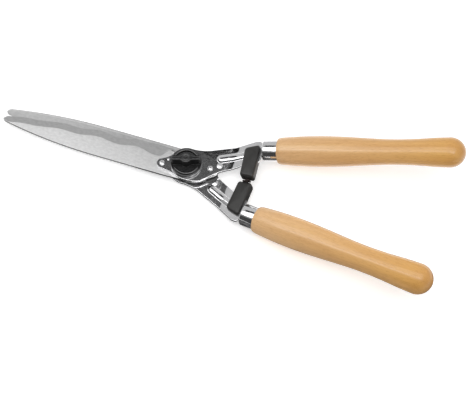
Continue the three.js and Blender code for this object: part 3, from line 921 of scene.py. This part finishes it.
def pillow(outline, low, high, edge_round, crown, seam=0.0):
    """A moulded block: rounded edges, a slight crown on both faces and a fine seam half way up."""
    centre = outline.mean(0)
    normals = inward(outline)

    def edge_ring(turn, face, sign):
        """A ring on the rounded edge of the low or high face, from the side at 0 to the face at 90."""
        a = math.radians(turn)
        ring = outline + normals * edge_round * (1 - math.cos(a))
        return ring, face + sign * edge_round * (1 - math.sin(a))

    rings = [edge_ring(turn, low, 1) for turn in range(90, -1, -15)]
    middle = (low + high) / 2
    for place, out in ((-0.5, 0.0), (-0.18, seam), (0.18, seam), (0.5, 0.0)):
        rings.append((outline - normals * out, middle + place))
    rings += [edge_ring(turn, high, -1) for turn in range(0, 91, 15)]

    def caps(ring, height, sign):
        """Ever smaller rings over a crowned face."""
        for share in (0.85, 0.65, 0.42, 0.2):
            yield centre + (ring - centre) * share, height + sign * crown * (1 - share ** 2)

    bottom = list(caps(rings[0][0], low, -1))[::-1]
    top = list(caps(rings[-1][0], high, 1))
    rings = bottom + rings + top
    count = len(outline)
    vertices = [np.column_stack([ring, np.full(count, height)]) for ring, height in rings]
    vertices = np.vstack(vertices + [[[*centre, low - crown]], [[*centre, high + crown]]])
    faces = quads_between(len(rings), count)
    last = (len(rings) - 1) * count
    for i in range(count):
        j = (i + 1) % count
        faces.append((len(vertices) - 2, j, i))
        faces.append((len(vertices) - 1, last + i, last + j))
    return vertices * MM, faces


def make_buffer(lever, side):
    outline = resampled(rounded_polygon(BUFFER_OUTLINE, BUFFER_CORNER, side), 0.8)
    half = BUFFER_DEPTH / 2 - BUFFER_CROWN - 0.05
    vertices, faces = pillow(outline, -half, half, BUFFER_ROUND, BUFFER_CROWN, BUFFER_SEAM)
    piece = make_piece(f"{lever}_buffer_moulded", vertices, faces, RUBBER)
    soften(piece, BUFFER_VOXEL, BUFFER_RELAX)
    piece.data.transform(crank_matrix(side))
    stand_for(piece, f"{lever}_lever", f"{lever}_buffer")


def make_buffer_pad(lever, side):
    """The small pad in the buffer's contact end, level with the plane where the levers meet."""
    corners = [(PAD_X[0], PAD_Y[0]), (PAD_X[1], PAD_Y[0]), (PAD_X[1], PAD_Y[1]), (PAD_X[0], PAD_Y[1])]
    outline = resampled(rounded_polygon(corners, PAD_ROUND, side, 4), 0.5)
    middle = -side * ARM_MIDDLE * math.cos(CRANK)
    vertices, faces = pillow(outline, middle - PAD_HALF, middle + PAD_HALF, PAD_ROUND, 0.05)
    piece = make_piece(f"{lever}_buffer_pad_moulded", vertices, faces, PAD_RUBBER)
    piece.data.transform(crank_matrix(side))
    stand_for(piece, f"{lever}_lever", f"{lever}_buffer_pad")


# ---------- adjusting knob ----------

KNOB_ANGLE = math.radians(17.4)
KNOB_RADIUS = 18.85
KNOB_BOTTOM = 6.75
KNOB_RECESS = (13, 9.6)  # radius and height, underneath
KNOB_FLOOR = 10.8
KNOB_LEDGE = 11.55
RIM_MIDDLE = 15.5
RIM_HALF = 1.7
RIM_CROWN = 0.8
RIM_FOOT = 10.3
RIM_TOP = 14.25
RIM_DROP = 1.3  # how much lower the rim's arcs are at their ends
RIM_SPAN = math.radians(63)  # how far each raised arc of the rim reaches to either side
RIM_END = math.radians(6)
BAR_FOOT = 10.2
BAR_TOP = 23.1
BAR_HALF = 2.5
BAR_SWELL = 3.4  # half width where the bar meets the boss
BAR_REACH = 16.95
BAR_ROUND = 1.1
BOSS_FOOT = 10.25
BOSS_SIZE = 5.9
KNOB_VOXEL = 0.25
KNOB_RELAX = 3
FLANK_HEIGHTS = (10.4, BAR_TOP - 1.2)  # where the knob's steep faces are matt and painted darker as shade
FLANK_REACH = BAR_REACH + 0.1
FILLET_TOP = KNOB_FLOOR + 0.8  # below this, faces that slope only a little are matt and painted darker too


def knob_base():
    """The knob's round body: a recess underneath, and a floor a little lower than the ledge round it."""
    recess, ceiling = KNOB_RECESS
    profile = [(0, ceiling), (recess, ceiling), (recess, KNOB_BOTTOM), (KNOB_RADIUS, KNOB_BOTTOM)]
    profile += [(KNOB_RADIUS - 0.15, KNOB_LEDGE), (17.25, KNOB_LEDGE), (17.1, KNOB_FLOOR), (13, KNOB_FLOOR)]
    profile += [(9, KNOB_FLOOR - 0.15), (0, KNOB_FLOOR - 0.15)]
    return turned_piece("knob_base", rounded(profile, 0.35, 4), PLANE, 160, PLASTIC)


def rim_arc(side):
    """One of the two raised arcs of the rim: a rounded wall with round ends."""
    vertices = []
    stations = np.linspace(-1, 1, 61)
    for share in stations:
        past = max(0.0, (abs(share) * RIM_SPAN - (RIM_SPAN - RIM_END)) / RIM_END)
        full = math.sqrt(max(0.0, 1 - past * past)) * 0.98 + 0.02
        half = RIM_HALF * full
        top = RIM_TOP - RIM_DROP * (1 - full)
        shoulder = top - RIM_CROWN - 0.5
        section = [(-half, RIM_FOOT), (-half, shoulder)]
        section += [(half * u, top - RIM_CROWN * u * u) for u in np.linspace(-0.92, 0.92, 11)]
        section += [(half, shoulder), (half, RIM_FOOT)]
        azimuth = share * RIM_SPAN
        for offset, z in section:
            radius = RIM_MIDDLE + offset
            vertices.append((radius * math.sin(azimuth), side * radius * math.cos(azimuth), z))
    count = len(vertices) // len(stations)
    faces = closed_tube(len(stations), count)
    return make_piece("knob_rim", to_frame(vertices), faces, PLASTIC)


def grip_bar(side):
    """One half of the bar across the knob, widening softly where it meets the boss."""
    half = Outline(1, 0.4)
    half.line(BAR_REACH, 0)
    half.line(BAR_REACH - 0.1, BAR_HALF - 1)
    half.curve(BAR_REACH - 0.2, BAR_HALF, BAR_REACH - 1.3, BAR_HALF)
    half.line(8.6, BAR_HALF)
    half.curve(6.6, BAR_HALF, 5.4, BAR_SWELL)
    half.line(4.4, BAR_SWELL)
    upper = np.array([(p.x, p.y) for p in half.points])
    lower = upper[:0:-1] * (1, -1)
    outline = resampled(np.vstack([upper, lower]) * side, 0.5)
    vertices, faces = pillow(outline, BAR_FOOT, BAR_TOP - 0.03, BAR_ROUND, 0.0)
    vertices[:, 2] += PLANE
    return make_piece("knob_bar", vertices, faces, PLASTIC)


def grip_boss():
    """The boss in the bar's middle: a rounded edge, a ring groove and a small hole in its top."""
    profile = [(0, BOSS_FOOT), (BOSS_SIZE, BOSS_FOOT)]
    for turn in np.linspace(0, math.pi / 2, 7):
        inwards, down = BAR_ROUND * (1 - math.cos(turn)), BAR_ROUND * (1 - math.sin(turn))
        profile.append((BOSS_SIZE - inwards, BAR_TOP - down))
    groove_floor, hole_floor = BAR_TOP - 0.35, BAR_TOP - 1.8
    profile += [(4.1, BAR_TOP), (3.9, groove_floor), (3.1, groove_floor), (2.9, BAR_TOP)]
    profile += [(1.7, BAR_TOP), (1.35, BAR_TOP - 0.4), (1.1, hole_floor), (0, hole_floor)]
    return turned_piece("knob_boss", profile, PLANE, 96, PLASTIC)


def join(body, others):
    """Joins other closed solids to a body, making one solid."""
    for other in others:
        union = body.modifiers.new("union", "BOOLEAN")
        union.operation = "UNION"
        union.solver = "EXACT"
        union.object = other
        apply_modifiers(body)
        bpy.data.objects.remove(other)


def is_flank(polygon):
    """Whether a face of the knob is on the sloping sides between its floor and the bar's top."""
    height = (polygon.center.z - PLANE) / MM
    reach = math.hypot(polygon.center.x, polygon.center.y) / MM
    low, high = FLANK_HEIGHTS
    flattest = 0.995 if height < FILLET_TOP else 0.7
    return low < height < high and reach < FLANK_REACH and abs(polygon.normal.z) < flattest


def make_knob():
    """The knob as one moulded solid with softened edges; its flanks are matt, and darker as painted shade.
    """
    body = knob_base()
    join(body, [rim_arc(1), rim_arc(-1), grip_boss(), grip_bar(1), grip_bar(-1)])
    body.name = "adjusting_knob_moulded"
    soften(body, KNOB_VOXEL, KNOB_RELAX)
    body.data.materials.append(MATT_SHADED_PLASTIC)
    for polygon in body.data.polygons:
        if is_flank(polygon):
            polygon.material_index = 1
    body.data.transform(Matrix.Rotation(KNOB_ANGLE, 4, "Z"))
    stand_for(body, "knob", "adjusting_knob")


# ---------- CAD solids that show as they are ----------

def finish_hidden_nodes():
    """Gives the parts inside the pivot and the buffers' screws their materials."""
    looks = {"friction_disc": PLASTIC, "pivot_bush": BRASS, "knob_insert": BRASS, "spring_washer": FASTENER,
             "tab_washer": FASTENER, "front_buffer_screw": FASTENER, "rear_buffer_screw": FASTENER}
    for name, material in looks.items():
        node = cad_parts[name]
        node.data.materials.clear()
        node.data.materials.append(material)


# ---------- camera, light and floor ----------

CAMERA_TILT = math.radians(23.5)  # off the pivot axis, towards -Y
CAMERA_TURN = math.radians(-17.4)  # the shears' X axis in the view
CAMERA_DISTANCE = 1.25
PIVOT_IN_VIEW = (-0.0581, 0.0407)  # across and up from the view's centre, at the pivot
LENS = 79.8
KEY_GLOW = 1.52
STRIP_GLOW = 3.2
FLOOR_DROP = 0.0004
FLOOR_GLOW = 0.5
WORLD_NEAR = 0.2  # brightness of the room on the -Y side and on the +Y side
WORLD_FAR = 0.6


def make_camera():
    """A camera tilted off the pivot's axis, with the pivot beside the view's centre."""
    turn = Vector((math.cos(CAMERA_TURN), math.sin(CAMERA_TURN)))
    tilt = Vector((math.cos(CAMERA_TILT), math.sin(CAMERA_TILT)))
    right = Vector((turn.x, -turn.y, 0))
    up = Vector((tilt.x * turn.y, tilt.x * turn.x, tilt.y))
    back = Vector((-tilt.y * turn.y, -tilt.y * turn.x, tilt.x))
    data = bpy.data.cameras.new("camera")
    data.lens = LENS
    data.sensor_width = 36.0
    camera = bpy.data.objects.new("camera", data)
    bpy.context.scene.collection.objects.link(camera)
    place = Vector((0, 0, PLANE)) + back * CAMERA_DISTANCE
    place -= right * PIVOT_IN_VIEW[0] + up * PIVOT_IN_VIEW[1]
    axes = Matrix((right, up, back)).transposed()
    camera.matrix_world = Matrix.Translation(place) @ axes.to_4x4()
    bpy.context.scene.camera = camera


def make_world():
    """A bright room that is dimmer on the -Y side; the camera itself sees plain white."""
    world = bpy.data.worlds.new("studio")
    look = Look(world, "Background")
    look.set("Color", (1, 1, 1, 1))
    generated = look.add("ShaderNodeTexCoord").outputs["Generated"]
    axes = look.add("ShaderNodeSeparateXYZ", None, {"Vector": generated})
    side = look.map_range(axes.outputs["Y"], WORLD_NEAR, WORLD_FAR, -0.9, 0.3)
    camera_ray = look.add("ShaderNodeLightPath").outputs["Is Camera Ray"]
    pick = look.add("ShaderNodeMix", {"B": 1.0}, {"Factor": camera_ray, "A": side})
    look.feed("Strength", pick.outputs["Result"])
    bpy.context.scene.world = world


def make_light(name, place, target, size, glow):
    """A soft rectangular light whose long side runs along X."""
    data = bpy.data.lights.new(name, "AREA")
    data.shape = "RECTANGLE"
    data.size, data.size_y = size
    data.energy = glow * math.pi * size[0] * size[1]
    light = bpy.data.objects.new(name, data)
    bpy.context.scene.collection.objects.link(light)
    light.matrix_world = facing(place, target)
    light.visible_camera = False


def facing(place, target):
    """A place whose -Z looks at the target, with X kept level."""
    back = (Vector(place) - Vector(target)).normalized()
    across = Vector((1, 0, 0))
    across = (across - back * across.dot(back)).normalized()
    axes = Matrix((across, back.cross(across), back)).transposed()
    return Matrix.Translation(place) @ axes.to_4x4()


def make_card(name, place, target, size, shade, holds_light=False):
    """A dark card for reflections, which may also hold the room's light off what faces it."""
    bpy.ops.mesh.primitive_grid_add(x_subdivisions=4, y_subdivisions=4, size=1)
    card = bpy.context.active_object
    card.name = name
    card.data.transform(Matrix.Diagonal((size[0], size[1], 1, 1)))
    card.matrix_world = facing(place, target)
    card.visible_camera = False
    card.visible_diffuse = holds_light
    card.visible_shadow = False
    look = new_look(f"{name}_cloth")
    folds = look.noise((40, 60, 40))
    dim, bright = (shade * 0.3,) * 3, (shade * 1.8,) * 3
    look.feed("Emission Color", look.ramp(folds, [(0.35, dim), (0.65, bright)]))
    look.set("Emission Strength", 1.0)
    look.set("Base Color", (0, 0, 0, 1))
    look.set("Specular IOR Level", 0)
    card.data.materials.append(look.owner)


def make_floor():
    """A white lit table."""
    bpy.ops.mesh.primitive_grid_add(x_subdivisions=8, y_subdivisions=8, size=8,
                                    location=(0, 0, cad_box[0].z - FLOOR_DROP))
    floor = bpy.context.active_object
    floor.name = "floor"
    look = new_look("floor_acrylic")
    shade = look.ramp(look.noise((3, 3, 3)), [(0.3, (0.86, 0.86, 0.86)), (0.7, (0.88, 0.88, 0.88))])
    look.feed("Base Color", shade)
    look.feed("Emission Color", shade)
    look.set("Emission Strength", FLOOR_GLOW)
    look.set("Roughness", 0.9)
    floor.data.materials.append(look.owner)


# ---------- assembly ----------

for lever, side in LEVERS.items():
    make_blade(lever, side)
    make_arm(lever, side)
    make_rivets(lever, side)
    make_buffer(lever, side)
    make_buffer_pad(lever, side)
    make_ferrule(lever, side)
    make_handle(lever, side)
make_bolt()
make_knob()
finish_hidden_nodes()
make_camera()
make_world()
make_floor()
# Lights and cards: name, place, the point they face, size and brightness.
make_light("key", (0.02, -0.12, 0.9), (0.02, -0.12, 0), (1.56, 0.72), KEY_GLOW)
make_light("strip", (0.1, -0.27, 0.89), (0.1, -0.27, 0), (1.4, 0.09), STRIP_GLOW)
make_card("black_card", (-0.106, 0.18, 0.45), (-0.106, 0.18, 0), (0.19, 0.12), 0.1)
make_card("black_edge", (-0.106, 0.265, 0.449), (-0.106, 0.265, 0), (0.19, 0.09), 0.01)
make_card("black_strip", (0.05, -0.75, 0.42), (0.05, 0, 0.42), (2.0, 0.84), 0.06, True)
make_card("dark_table", (0.245, -0.38, -0.0002), (0.245, -0.38, 1), (0.61, 0.78), 0.12)
bpy.context.scene.view_settings.view_transform = "Standard"
